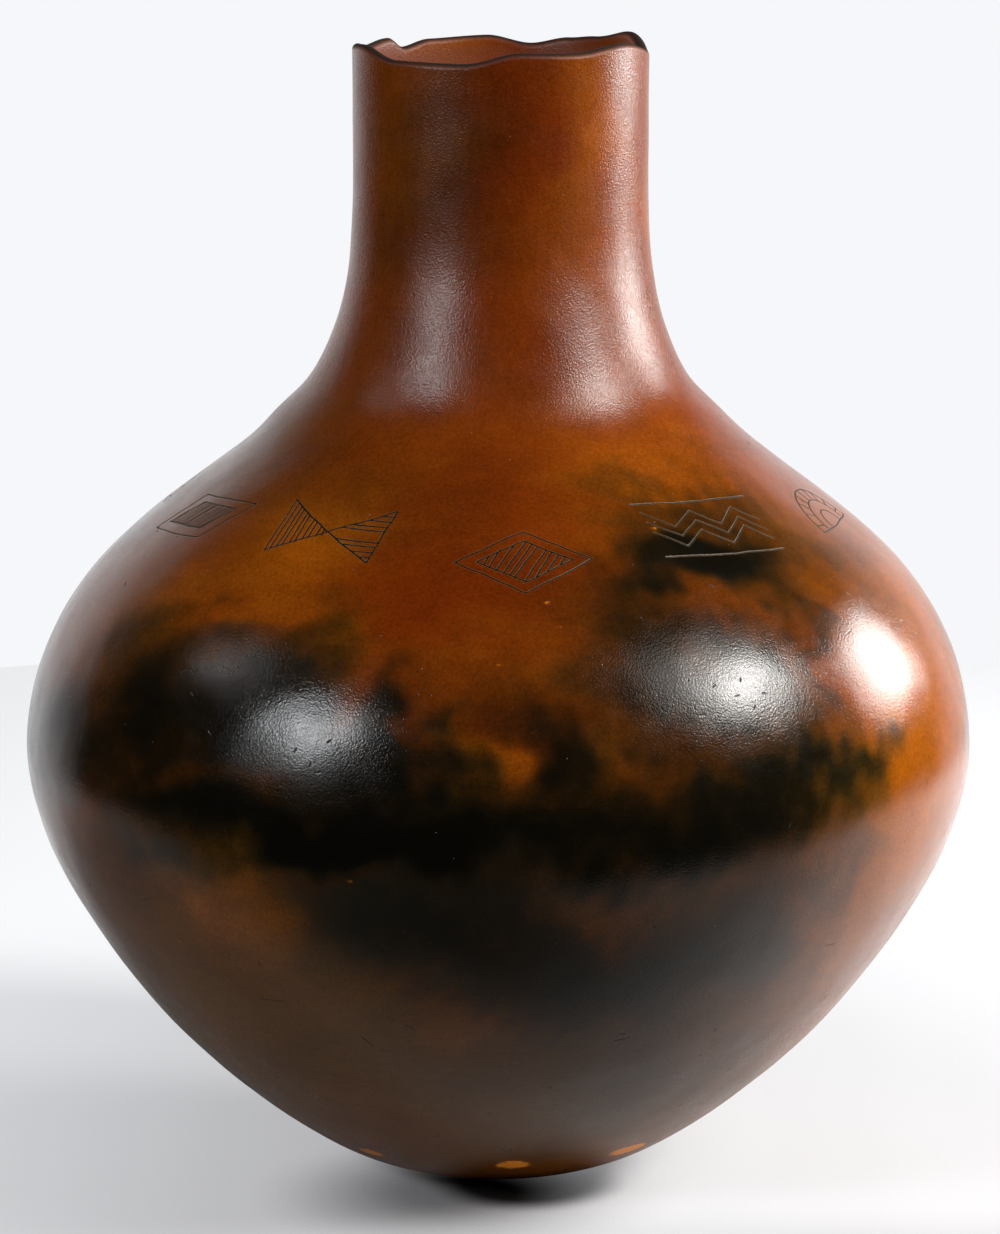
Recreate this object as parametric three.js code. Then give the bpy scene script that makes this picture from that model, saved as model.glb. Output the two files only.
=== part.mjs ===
// A tall-necked storage pot, coil-built in clay, burnished and fired in an open pit.
//
// The wall stands on a pressed base slab and was raised in coils, each one thinned upwards
// and lapped onto the coil below. Before firing the laps were smeared shut and polished over.
// Here every coil is a solid of its own, with a hairline gap along each lap.
//
// Millimetres, +Z up, origin on the ground under the middle of the foot.
// Azimuth 0 is the front of the pot, -Y, and 90 is its right side, +X.

import * as THREE from 'three';

// Main sizes
const POT_HEIGHT = 500;
const FOOT_RADIUS = 46;
const BELLY_RADIUS = 210.5;
const BELLY_HEIGHT = 190;
const NECK_RADIUS = 65;
const NECK_BOTTOM = 430;

// Wall thickness, greatest at the foot and least at the lip
const FOOT_WALL = 10;
const LIP_WALL = 5;
const THINNING = 1.5;

// How the wall is divided: the slab reaches SLAB_RISE up the wall, and equal coils do the rest
const SLAB_RISE = 32;
const LOWER_WALL_COILS = 4;
const BELLY_COILS = 3;
const SHOULDER_COILS = 4;
const NECK_COILS = 3;
const LAP = 5;
const LAP_GAP = 0.4;

// The hand-pinched rim rises and falls, and the wave dies out this far below the lip
const WAVE_DEPTH = 26;

// Fineness of the solids
const SEGMENTS = 60;
const COIL_STEPS = 3;
const LIP_STEPS = 4;

// Outer outline of the wall, as radius and height
const OUTLINE = [
  [FOOT_RADIUS, 0],
  [73, 10],
  [110, 35],
  [148, 70],
  [179, 110],
  [201, 150],
  [BELLY_RADIUS, BELLY_HEIGHT],
  [204, 230],
  [181, 270],
  [135, 310],
  [88.5, 350],
  [69.5, 390],
  [NECK_RADIUS, NECK_BOTTOM],
  [NECK_RADIUS, POT_HEIGHT],
];

// Rise of the rim above or below its mean height, at each crest, dip and shelf round the lip
const RIM_WAVE = [
  [-90, 2],
  [-69, 3],
  [-45, -2],
  [-14, -2.5],
  [8, 2],
  [30, 1.5],
  [56, 4.5],
  [90, -1],
  [114, 5.5],
  [138, 2],
  [151, 1],
  [168, -2],
  [186, 1.5],
  [211, 0.5],
  [225, -2.5],
  [234, 2],
  [252, 0],
  [270, 2],
];

const FIRED_CLAY = {
  brown: 0x6b3418,
  smoked: 0x2c1d14,
  orange: 0x8f3f14,
  red: 0x7a3012,
};

const outline = new THREE.CatmullRomCurve3(
  OUTLINE.map(([radius, height]) => new THREE.Vector3(radius, height, 0)),
  false,
  'centripetal',
);
const wallLength = outline.getLength();

function wallThickness(rise) {
  return LIP_WALL + (FOOT_WALL - LIP_WALL) * (1 - rise / wallLength) ** THINNING;
}

// A point of the wall, by its distance up the outline and its depth in from the outer face:
// depth 0 is the outer face, and 1 is the inner face
function wallPoint(rise, depth) {
  const along = THREE.MathUtils.clamp(rise / wallLength, 0, 1);
  const outer = outline.getPointAt(along);
  const tangent = outline.getTangentAt(along);
  const inward = depth * wallThickness(rise);
  return new THREE.Vector2(outer.x - tangent.y * inward, outer.y + tangent.x * inward);
}

// Points up one face of the wall from one rise to another
function wallFace(from, to, depth) {
  const points = [];
  for (let step = 0; step <= COIL_STEPS; step += 1) {
    points.push(wallPoint(THREE.MathUtils.lerp(from, to, step / COIL_STEPS), depth));
  }
  return points;
}

// Half round of the lip, from its outer face over the top to its inner face
function lipRound() {
  const radius = LIP_WALL / 2;
  const points = [];
  for (let step = 0; step <= LIP_STEPS; step += 1) {
    const angle = (Math.PI * step) / LIP_STEPS;
    points.push(new THREE.Vector2(
      NECK_RADIUS - radius + radius * Math.cos(angle),
      POT_HEIGHT - radius + radius * Math.sin(angle),
    ));
  }
  return points;
}

// Turns a closed section, listed anticlockwise, into a ring that stands along +Z
function turned(section) {
  const ring = new THREE.LatheGeometry(section, SEGMENTS);
  ring.rotateX(Math.PI / 2);
  return ring;
}

function closed(section) {
  return [...section, section[0].clone()];
}

// The slab: flat underneath, and dished up to the first lap
function baseSlab() {
  const outerEdge = SLAB_RISE - LAP_GAP / 2;
  const floor = wallPoint(0, 1).y;
  return turned([
    new THREE.Vector2(0, 0),
    ...wallFace(0, outerEdge, 0),
    ...wallFace(0, outerEdge - LAP, 1).reverse(),
    new THREE.Vector2(0, floor),
  ]);
}

// One coil: its laps slope down inwards, so the inner face starts and ends LAP lower
function wallCoil(from, to) {
  const bottom = from + LAP_GAP / 2;
  const top = to - LAP_GAP / 2;
  return turned(closed([
    ...wallFace(bottom, top, 0),
    ...wallFace(bottom - LAP, top - LAP, 1).reverse(),
  ]));
}

// Height of the rim's wave at an azimuth in degrees, eased from each listed point to the next
function rimRise(azimuth) {
  const next = RIM_WAVE.findIndex(([listed]) => listed >= azimuth);
  if (next < 1) {
    return RIM_WAVE[0][1];
  }
  const [fromAzimuth, fromRise] = RIM_WAVE[next - 1];
  const [toAzimuth, toRise] = RIM_WAVE[next];
  const eased = THREE.MathUtils.smoothstep(azimuth, fromAzimuth, toAzimuth);
  return THREE.MathUtils.lerp(fromRise, toRise, eased);
}

function azimuthOf(x, y) {
  const fromFront = THREE.MathUtils.radToDeg(Math.atan2(x, -y));
  return fromFront < RIM_WAVE[0][0] ? fromFront + 360 : fromFront;
}

// The last coil, with the rounded lip and the wave pinched into it
function lipCoil(from) {
  const bottom = from + LAP_GAP / 2;
  const shoulderOfLip = wallLength - LIP_WALL / 2;
  const ring = turned(closed([
    ...wallFace(bottom, shoulderOfLip, 0).slice(0, -1),
    ...lipRound(),
    ...wallFace(bottom - LAP, shoulderOfLip, 1).slice(0, -1).reverse(),
  ]));
  const vertex = ring.getAttribute('position');
  for (let i = 0; i < vertex.count; i += 1) {
    const height = vertex.getZ(i);
    const share = THREE.MathUtils.smoothstep(height, POT_HEIGHT - WAVE_DEPTH, POT_HEIGHT - LIP_WALL / 2);
    const azimuth = azimuthOf(vertex.getX(i), vertex.getY(i));
    vertex.setZ(i, height + share * rimRise(azimuth));
  }
  ring.computeVertexNormals();
  return ring;
}

function clay(name, geometry, color) {
  const material = new THREE.MeshStandardMaterial({ color, roughness: 0.35, metalness: 0 });
  const piece = new THREE.Mesh(geometry, material);
  piece.name = name;
  return piece;
}

const coilCount = LOWER_WALL_COILS + BELLY_COILS + SHOULDER_COILS + NECK_COILS + 1;
const coilRise = (wallLength - SLAB_RISE) / coilCount;

const pot = new THREE.Group();
pot.add(clay('base_slab', baseSlab(), FIRED_CLAY.brown));

let coilsLaid = 0;
function raise(zone, count, color) {
  const group = new THREE.Group();
  for (let number = 1; number <= count; number += 1) {
    const from = SLAB_RISE + coilsLaid * coilRise;
    group.add(clay(`${zone}_coil_${number}`, wallCoil(from, from + coilRise), color));
    coilsLaid += 1;
  }
  pot.add(group);
}

raise('lower_wall', LOWER_WALL_COILS, FIRED_CLAY.brown);
raise('belly', BELLY_COILS, FIRED_CLAY.smoked);
raise('shoulder', SHOULDER_COILS, FIRED_CLAY.orange);
raise('neck', NECK_COILS, FIRED_CLAY.red);
pot.add(clay('lip_coil', lipCoil(wallLength - coilRise), FIRED_CLAY.red));

export default pot;
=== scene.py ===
# A tall-necked storage pot, coil-built in clay, burnished and fired in an open pit.
#
# The wall is laid out as one flat sheet, turned into the round by Geometry Nodes, and then
# cut along its laps into the base slab and the coils that it was built from.
#
# Sizes are in millimetres, and MM turns them into Blender's metres. The studio's are in metres.
# Azimuth 0 is the front of the pot, -Y, and 90 is its right side, +X.

import math
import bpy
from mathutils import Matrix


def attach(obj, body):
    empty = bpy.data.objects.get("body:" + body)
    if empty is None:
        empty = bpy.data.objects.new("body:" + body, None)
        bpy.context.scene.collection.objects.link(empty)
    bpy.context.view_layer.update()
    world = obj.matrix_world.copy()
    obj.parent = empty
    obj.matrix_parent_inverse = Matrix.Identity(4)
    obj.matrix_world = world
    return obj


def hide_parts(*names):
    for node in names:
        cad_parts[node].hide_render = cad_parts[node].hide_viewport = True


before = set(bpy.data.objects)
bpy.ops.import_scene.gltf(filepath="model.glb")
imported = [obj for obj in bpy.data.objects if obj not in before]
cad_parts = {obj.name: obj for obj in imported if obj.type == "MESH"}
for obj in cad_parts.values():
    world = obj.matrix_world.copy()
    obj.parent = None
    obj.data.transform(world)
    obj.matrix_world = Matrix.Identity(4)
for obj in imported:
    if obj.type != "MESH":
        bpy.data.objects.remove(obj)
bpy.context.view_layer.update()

from types import SimpleNamespace

import bpy
import numpy as np
from mathutils import Matrix

MM = 0.001

# Main sizes of the pot
POT_HEIGHT = 500
FOOT_RADIUS = 46
BELLY_RADIUS = 210.5
BELLY_HEIGHT = 190
NECK_RADIUS = 65
NECK_BOTTOM = 430
FOOT_WALL = 10
LIP_WALL = 5
THINNING = 1.5
SLAB_RISE = 32
LAP = 5
WAVE_DEPTH = 26
FOOT_EASE = 5
FLOOR_EASE = 14
LEAN = 0.0034

# Each zone of the wall, the coils in it, and a clay finish listed for them, though every coil takes the same
# clay
ZONES = [
    ("lower_wall", 4, "burnished_brown_clay"),
    ("belly", 3, "smoked_black_clay"),
    ("shoulder", 4, "burnished_orange_clay"),
    ("neck", 3, "burnished_red_clay"),
]
COILS = sum(count for _, count, _ in ZONES) + 1

# Outer outline of the wall, as radius and height
OUTLINE = [
    (FOOT_RADIUS, 0),
    (73, 10),
    (110, 35),
    (148, 70),
    (179, 110),
    (201, 150),
    (BELLY_RADIUS, BELLY_HEIGHT),
    (204, 230),
    (181, 270),
    (135, 310),
    (88.5, 350),
    (69.5, 390),
    (NECK_RADIUS, NECK_BOTTOM),
    (NECK_RADIUS, POT_HEIGHT),
]

# Rise of the hand-pinched rim at each crest, dip and shelf, by azimuth
RIM_WAVE = [
    (-90, 2),
    (-69, 3),
    (-45, -2),
    (-14, -2.5),
    (8, 2),
    (30, 1.5),
    (56, 4.5),
    (90, -1),
    (114, 5.5),
    (138, 2),
    (151, 1),
    (168, -2),
    (186, 1.5),
    (211, 0.5),
    (225, -2.5),
    (234, 2),
    (252, 0),
    (270, 2),
]

# Unevenness left by the hands: how far it goes, how broad it is, its share in X, Y and Z, and
# between which heights above the foot it sets in
UNDULATION = 1.3
UNDULATION_SIZE = 140
UNDULATION_SHARE = (2.0, 2.0, 0.6)
DENT = 0.26
DENT_SIZE = 34
UNEVEN_FROM = (1, 30)
HAND_SEED = 4.0

# Where the hands pushed the wall: azimuth, height, half width, half height and how far out
PRESSED = [
    (0, 346, 75, 17, -3.6),
    (0, 387, 60, 18, 1.5),
    (-90, 340, 50, 11, 1.7),
    (90, 341, 50, 12, 1.1),
    (160, 352, 60, 18, -1.6),
    (130, 240, 50, 34, 0.8),
    (215, 268, 60, 26, -0.9),
]

# Incised lines, and the pits and cracks of the firing
CUT_WIDTH = 0.56
CUT_DEPTH = 0.24
SCAR_WIDTH = 0.36
SCAR_DEPTH = 0.2

# Section of a cut line: from its middle to its edge, how high the clay stands. The edge is a burr
CUT_SECTION = [(0, 0.0), (0.2, 0.05), (0.45, 0.5), (0.65, 0.9), (0.78, 1.0), (0.9, 0.98), (1, 0.95)]
CUT_LEVEL = CUT_SECTION[-1][1]

# The hand that drew the lines: the length of its steps, and how far it wavers, slips and tilts
STROKE_STEP = 1.5
STROKE_SEED = 21
HAND_WAVER = 0.22
HAND_SLIP = 0.25
HAND_TILT = 2.5

# Fineness of the sheet: root columns and rows are halved until a cell is small enough. Cells
# grow with their gap to a cut, and points closer than the closing gap become one
COLUMNS = 40
ROUND_STEPS = 256
RISE_STEPS = 128
OUTER_CELL = 2.5
INNER_CELL = 5
FOOT_CELL = 1
LIP_CELL = 0.9
CUT_CELL = 0.4
CELL_GROWTH = 0.6
CUT_MARGIN = 0.6
CLOSING_GAP = 0.001

# The map of how far each place is from a cut: the height of a row, the columns round the pot,
# the width of one in radians, and how many rows up and down a stroke reaches
MAP_ROW = 0.5
MAP_COLUMNS = 2880
MAP_COLUMN = 2 * math.pi / MAP_COLUMNS
MAP_REACH = 8

# Fire clouds on the wall: azimuth, height, half width, half height and how thick they lie
SMOKE = [
    (-35, 254, 34, 20, 1.7),
    (-45, 236, 36, 20, 1.4),
    (-39, 278, 26, 11, -1.1),
    (-44, 226, 15, 15, 0.8),
    (-30, 250, 10, 10, 0.7),
    (-15, 247, 14, 12, -0.5),
    (-31, 180, 16, 8, 1.0),
    (-57, 214, 44, 20, 1.7),
    (-27, 230, 40, 16, 2.6),
    (-17, 218, 23, 14, 2.6),
    (-12, 234, 6, 15, 2.4),
    (-4, 235, 5, 11, 1.8),
    (-7, 210, 20, 10, 3.0),
    (-36, 196, 54, 9, 3.0),
    (-19, 191, 47, 9, 3.4),
    (-5, 186, 39, 10, 3.6),
    (9, 220, 12, 12, 2.2),
    (11, 193, 38, 12, 2.4),
    (25, 197, 38, 14, 3.2),
    (39, 209, 25, 9, 2.8),
    (48, 209, 15, 4, 1.0),
    (26, 245, 33, 21, 2.2),
    (19, 269, 16, 18, 1.2),
    (36, 246, 15, 22, 1.2),
    (28, 299, 15, 6, 0.4),
    (31, 291, 15, 9, 3.0),
    (22, 290, 14, 8, 1.5),
    (36, 293, 16, 10, 2.6),
    (39, 287, 13, 10, 0.8),
    (10, 266, 10, 9, 0.5),
    (62, 285, 34, 24, 0.5),
    (33, 316, 24, 12, 0.6),
    (40, 307, 28, 19, 0.8),
    (48, 291, 28, 26, 0.8),
    (45, 258, 5, 29, 0.9),
    (-21, 259, 17, 10, 0.3),
    (15, 284, 23, 18, 0.4),
    (-41, 443, 25, 39, 0.3),
    (-25, 269, 12, 16, 0.7),
    (-7, 154, 42, 18, 0.8),
    (-57, 256, 30, 24, 0.2),
    (-2.5, 222, 7, 13, -0.9),
    (3.5, 222, 9, 15, 2.2),
    (-4, 238, 16, 10, 0.3),
    (1, 250, 24, 14, 0.5),
    (-43, 172, 26, 9, 1.6),
    (46, 197, 12, 8, 0.8),
    (16, 250, 44, 30, 0.3),
    (-30, 320, 60, 34, 0.3),
    (-23, 454, 20, 34, 0.35),
    (-78, 205, 44, 17, 2.0),
    (-96, 232, 34, 20, 1.4),
    (84, 200, 22, 9, 1.0),
    (106, 232, 40, 20, 2.4),
    (128, 205, 46, 16, 2.8),
    (150, 250, 32, 22, 1.8),
    (172, 196, 48, 14, 2.8),
    (200, 214, 38, 20, 2.4),
    (222, 190, 44, 13, 2.2),
    (246, 228, 34, 22, 2.6),
    (262, 286, 22, 12, 1.4),
    (118, 300, 20, 12, 1.6),
    (190, 292, 26, 13, 1.4),
    (140, 440, 24, 40, 0.3),
    (232, 450, 26, 44, 0.4),
]
SLATE = [
    (-20, 162, 23, 13, 1.2),
    (-7, 151, 46, 21, 2.4),
    (8, 120, 38, 14, 2.2),
    (44, 168, 16, 14, 1.6),
    (28, 152, 37, 28, 2.6),
    (18, 135, 45, 14, 2.2),
    (34, 78, 49, 52, 0.9),
    (-54, 160, 42, 26, 0.6),
    (7, 172, 17, 7, 1.0),
    (120, 150, 44, 28, 2.2),
    (160, 120, 50, 22, 1.8),
    (205, 150, 52, 26, 2.4),
    (246, 110, 42, 30, 1.6),
]
BROWN = [
    (-50, 105, 130, 50, 1.6),
    (0, 75, 150, 66, 2.2),
    (-20, 155, 56, 18, 1.0),
    (34, 70, 50, 56, 0.8),
    (120, 80, 120, 56, 1.8),
    (190, 80, 140, 64, 2.0),
    (250, 90, 130, 60, 1.8),
    (-62, 270, 44, 30, 0.4),
    (-82, 320, 50, 36, 0.8),
]
FLASH = [
    (38, 469, 11, 38, 0.7),
    (-41, 456, 21, 43, 0.4),
    (24, 412, 24, 20, 0.2),
    (-34, 300, 23, 28, 1.0),
    (33, 328, 35, 22, 0.5),
    (-3, 222, 7, 14, 0.7),
    (-7, 255, 17, 14, 0.2),
    (8, 265, 20, 16, 0.4),
    (-22, 262, 14, 14, 0.7),
    (-54, 268, 26, 24, 0.8),
    (60, 206, 50, 24, 2.0),
    (44, 197, 22, 11, 0.8),
    (54, 158, 50, 43, 2.8),
    (65, 103, 52, 64, 1.6),
    (-33, 157, 16, 16, 1.8),
    (-41, 169, 28, 6, 1.1),
    (-19, 177, 15, 4, 0.8),
    (18, 162, 38, 9, 1.9),
    (-3, 113, 20, 12, 1.6),
    (-17, 341, 27, 16, 0.2),
    (12, 233, 13, 12, 0.5),
    (64, 292, 50, 34, 0.5),
    (72, 240, 30, 40, 2.0),
    (92, 260, 34, 30, 1.0),
    (140, 280, 34, 22, 1.0),
    (176, 236, 16, 24, 1.0),
    (214, 250, 24, 20, 1.2),
    (228, 160, 26, 14, 1.2),
    (134, 158, 32, 12, 1.0),
    (110, 440, 22, 44, 1.2),
    (200, 470, 18, 30, 1.2),
    (250, 400, 24, 30, 0.9),
]
RUDDY = [
    (-3, 466, 26, 32, 2.0),
    (-9, 319, 38, 32, 1.6),
    (-10, 285, 27, 20, 2.0),
    (6, 288, 20, 26, 1.2),
    (0, 252, 34, 26, 1.8),
    (-18, 280, 26, 18, 1.0),
    (1, 385, 26, 26, 1.2),
    (-3, 340, 40, 20, 1.4),
    (20, 452, 16, 40, 1.3),
    (-36, 450, 26, 44, 0.8),
    (3, 253, 8, 9, 0.5),
    (150, 340, 50, 34, 1.0),
    (160, 460, 34, 36, 1.3),
    (230, 340, 50, 44, 1.2),
    (250, 470, 26, 26, 1.0),
]
FLECKS = [
    (4.5, 20, 5, 4, 1.6),
    (-38, 20, 5, 3, 1.6),
    (39, 21, 7, 4, 1.6),
    (0, 262, 3.5, 1.3, 0.38),
    (7, 283, 1.5, 2, 0.38),
    (28, 307, 4, 1.4, 0.34),
    (8, 275, 2.5, 1.3, 0.38),
    (-17, 173, 3, 1.4, 0.3),
    (120, 24, 7, 4, 1.6),
    (215, 18, 6, 4, 1.6),
]
CLOUDS = {"smoke": SMOKE, "slate": SLATE, "brown": BROWN, "flash": FLASH, "ruddy": RUDDY}

# How far the draught carried the clouds about, and how many swirls of each size it made
DRAUGHT = 5
DRAUGHT_SEED = 5
SWIRLS = 6
SWIRL_SIZES = (90, 45, 22, 11)
SWIRL_FADE = 0.6

# How each kind of cloud drifts: how unevenly, the size of a drift, and its seed
DRIFTS = {
    "smoke": (0.55, 26, 1.0),
    "slate": (0.6, 50, 2.0),
    "brown": (0.4, 80, 3.0),
    "flash": (0.8, 35, 4.0),
    "ruddy": (0.7, 50, 5.0),
    "fleck": (1.0, 4, 6.0),
}

# Noise mostly keeps within a quarter of its middle, and this spreads it to 1 either way
NOISE_SPREAD = 4.0

# How strongly a layer of soot dims red, green and blue
SOOT = (1.2, 0.9, 0.74)

# How far from the top of the lip its dark edge fades, and where the inside turns scraped
LIP_EDGE = (1.2, 4.2)
SCRAPED_EDGE = (1, 10)

# What changes with height: between two heights, and from one value to another
STROKES_STAND = (270, 400)
GRAIN_DEPTH = (300, 380, 0.12, 0.21)
FOOT_ROUGHER = (160, 30, 0.0, 0.15)
NECK_ROUGHER = (300, 360, 0.0, 0.1)

# Burnishing strokes that lie round the pot or stand up the neck, and the pinholes between them
STROKE_DEPTH = 0.02
LYING_STROKES = (0.09, 0.09, 0.35)
STANDING_STROKES = (0.35, 0.35, 0.08)
PINHOLE_DEPTH = 0.1

# Noise in the clay: scale, detail, roughness and seed
MOTTLE = (28.0, 4.0, 0.6, 7.0)
SPECKLE = (700.0, 3.0, 0.7, 8.0)
WEAR = (60.0, 3.0, 0.6, 9.0)

# How rough the burnish is, and how much rougher each mark leaves it
BURNISH = (0.13, 0.2)
ROUGHER = {"incised": 0.4, "scarred": 0.3, "scraped": 0.3, "lip": 0.8, "dust": 0.3, "fleck": 0.15}

# Light from the studio: azimuth, elevation, distance, width, height, roll, radiance and colour
LAMPS = {
    "left_lamp": (-48, 27, 3.2, 0.62, 0.62, 0, 24, (0.95, 0.97, 1.0)),
    "left_umbrella": (-49, 24, 3.2, 1.2, 1.4, 0, 2.2, (0.95, 0.97, 1.0)),
    "left_edge_lamp": (-84, 38, 3.2, 0.34, 0.6, 0, 5, (0.95, 0.97, 1.0)),
    "right_lamp": (71.5, 34.3, 3.2, 0.86, 0.86, 0, 35, (1.0, 0.98, 0.95)),
    "right_umbrella": (66, 40, 3.2, 1.6, 1.5, 0, 3.3, (1.0, 0.98, 0.95)),
    "right_softbox": (110, 18.5, 1.16, 0.42, 0.36, 0, 21, (1.0, 0.99, 0.97)),
}

# How bright the room is before and behind the pot, and where the backdrop's sides and top fade
STUDIO_FRONT = 0.01
STUDIO_BACK = 1.0
BACKDROP_AZIMUTH = -176
BACKDROP_SIDES = (0.58, 0.95)
BACKDROP_TOP = (0.6, 0.2)

# The camera, in metres and degrees, with its lens in millimetres
CAMERA_PLACE = (0.0014, -2.2, 0.657)
CAMERA_PITCH = 10.56
CAMERA_LENS = 146.2

# The table: its ends, and where its cloth fades into painted shade at the front and under the pot
TABLE_FRONT = -0.42
TABLE_BACK = 1.21
# Painted shade: between these distances the cloth's colour darkens towards the front
DIM_FRONT = (-0.27, -0.08)
# A painted shadow under the foot: its centre, and where it fades out
FOOT_SHADE = (0.013, -0.05, 0.0)
FOOT_SHADE_EDGE = (0.026, 0.048)
# Where the painted glow fades round the pot, a painted shadow: its centre and edges
POT_SHADE = (-0.013, -0.068, 0.0)
POT_SHADE_EDGE = (0.02, 0.1)

# How the cloth glows, a painted light, from left to right, near and far, and where the pot mirrors it
GLOW_ACROSS = (-0.36, -0.01)
NEAR_GLOW = (0.575, 0.34)
FAR_GLOW = (0.0, 0.25)
FAR_GLOW_EDGE = (0.1, 0.7)
MIRRORED_BACK = (0.1, 0.5)
MIRRORED_RIGHT = (0.0, 0.28, 0.0, 1.4)

# Noise in the cloth: scale, detail, roughness and seed, and how its folds stretch and stand
WEAVE = (900.0, 2.0, 0.5, 1.0)
FOLDS = (1.0, 2.0, 0.5, 2.0)
FOLD_STRETCH = (5.0, 1.6, 1.0)
FOLD_HEIGHT = 0.004


def shade(red, green, blue):
    """A colour as it looks on a screen, 0 to 255, in Blender's linear light."""
    values = np.array([red, green, blue]) / 255
    linear = np.where(values < 0.04045, values / 12.92, ((values + 0.055) / 1.055) ** 2.4)
    return (*linear.tolist(), 1.0)


SIENNA = shade(130, 57, 5)
RED_CLAY = shade(106, 34, 3)
GOLD = shade(182, 98, 12)
MILK_BROWN = shade(104, 70, 20)
CARBON = shade(14, 11, 6)
SLATE_GREY = shade(41, 41, 33)
# Bare orange clay of the flecks, made brighter than its own colour: partly painted light, as if lit from the
# cloth under the foot
BARE_ORANGE_AND_PAINTED_LIGHT = shade(250, 150, 36)
RAW_CLAY = shade(120, 51, 4)
OCHRE = shade(146, 108, 58)
DUST = shade(190, 184, 172)
CLOTH = shade(186, 187, 190), shade(193, 194, 197)
# The grey of the painted shade in front, and the dark of the painted shadow under the foot
CLOTH_DIM = shade(50, 50, 50)
CLOTH_SHADED = shade(28, 23, 20)
STUDIO_WHITE = shade(246, 247, 250)


# The section of the wall

def travelled(line):
    """How far along a line each of its points lies."""
    return np.concatenate([[0], np.cumsum(np.linalg.norm(np.diff(line, axis=0), axis=1))])


def spline_through(points, step=0.5):
    """A line that bends steadily through the listed points, as points about a step apart."""
    points = np.array(points, float)
    gaps = np.sqrt(np.linalg.norm(np.diff(points, axis=0), axis=1))
    system = np.eye(len(points))
    pull = np.zeros(points.shape)
    for i in range(1, len(points) - 1):
        before, after = gaps[i - 1], gaps[i]
        system[i, i - 1:i + 2] = before, 2 * (before + after), after
        pull[i] = 6 * ((points[i + 1] - points[i]) / after - (points[i] - points[i - 1]) / before)
    bend = np.linalg.solve(system, pull)
    line = []
    for i, gap in enumerate(gaps):
        b = np.linspace(0, 1, round(gap ** 2 / step), endpoint=False)[:, None]
        a = 1 - b
        curl = (a ** 3 - a) * bend[i] + (b ** 3 - b) * bend[i + 1]
        line.append(a * points[i] + b * points[i + 1] + curl * gap ** 2 / 6)
    return np.concatenate([*line, points[-1:]])


def eased_corner(start, corner, end, steps=14):
    t = np.linspace(0, 1, steps)[:, None]
    start, corner, end = np.array(start, float), np.array(corner, float), np.array(end, float)
    return (1 - t) ** 2 * start + 2 * t * (1 - t) * corner + t ** 2 * end


OUTER_LINE = spline_through(OUTLINE)
OUTER_RISE = travelled(OUTER_LINE)
WALL_LENGTH = OUTER_RISE[-1]
COIL_RISE = (WALL_LENGTH - SLAB_RISE) / COILS
LAPS = SLAB_RISE + COIL_RISE * np.arange(COILS)


def inner_line():
    """The inner face of the wall, set in from the outer face by the wall's thickness."""
    tangent = np.gradient(OUTER_LINE, OUTER_RISE, axis=0)
    inward = np.stack([-tangent[:, 1], tangent[:, 0]], axis=1)
    inward /= np.linalg.norm(inward, axis=1)[:, None]
    thickness = LIP_WALL + (FOOT_WALL - LIP_WALL) * (1 - OUTER_RISE / WALL_LENGTH) ** THINNING
    return OUTER_LINE + inward * thickness[:, None]


INNER_LINE = inner_line()


def at_rise(line, rise):
    return np.stack([np.interp(rise, OUTER_RISE, line[:, i]) for i in (0, 1)], axis=-1)


def wall_section():
    """The whole section, from under the foot, up the outside, over the lip and down to the floor."""
    lip_start = WALL_LENGTH - LIP_WALL / 2
    turn = np.linspace(0, math.pi, 25)
    lip_centre = np.array([NECK_RADIUS - LIP_WALL / 2, POT_HEIGHT - LIP_WALL / 2])
    lip = lip_centre + LIP_WALL / 2 * np.stack([np.cos(turn), np.sin(turn)], axis=1)
    foot_flat = [FOOT_RADIUS - FOOT_EASE, 0]
    floor_corner = at_rise(INNER_LINE, 0)
    floor_flat = floor_corner - [FLOOR_EASE, 0]
    return np.concatenate([
        [[0, 0]],
        eased_corner(foot_flat, [FOOT_RADIUS, 0], at_rise(OUTER_LINE, FOOT_EASE)),
        OUTER_LINE[(OUTER_RISE > FOOT_EASE) & (OUTER_RISE < lip_start)],
        lip,
        INNER_LINE[(OUTER_RISE > FLOOR_EASE) & (OUTER_RISE < lip_start)][::-1],
        eased_corner(at_rise(INNER_LINE, FLOOR_EASE), floor_corner, floor_flat),
        [[0, floor_corner[1]]],
    ])


SECTION = wall_section()
SECTION_LENGTH = travelled(SECTION)


def sheet_place(point):
    """How far along the section its nearest point to a given radius and height lies."""
    return SECTION_LENGTH[np.argmin(np.linalg.norm(SECTION - point, axis=1))]


FLAT_EDGE = sheet_place([FOOT_RADIUS - FOOT_EASE, 0])
LIP_TOP = sheet_place([NECK_RADIUS - LIP_WALL / 2, POT_HEIGHT])
FLOOR_EDGE = sheet_place(at_rise(INNER_LINE, 0) - [FLOOR_EASE, 0])
WALL_START = sheet_place(at_rise(OUTER_LINE, 100)) - 100

# Rows of the sheet, and the slab, 0, or coil that each row belongs to
ROW_EDGES = np.array([
    0,
    FLAT_EDGE,
    *[sheet_place(at_rise(OUTER_LINE, rise)) for rise in LAPS],
    LIP_TOP,
    *[sheet_place(at_rise(INNER_LINE, rise - LAP)) for rise in LAPS[::-1]],
    FLOOR_EDGE,
    SECTION_LENGTH[-1],
])
ROW_PIECE = np.array([0, 0, *range(1, COILS + 1), *range(COILS, 0, -1), 0, 0])
FIRST_OUTER_LAP = 2
LAST_INNER_LAP = len(ROW_EDGES) - 3

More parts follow.
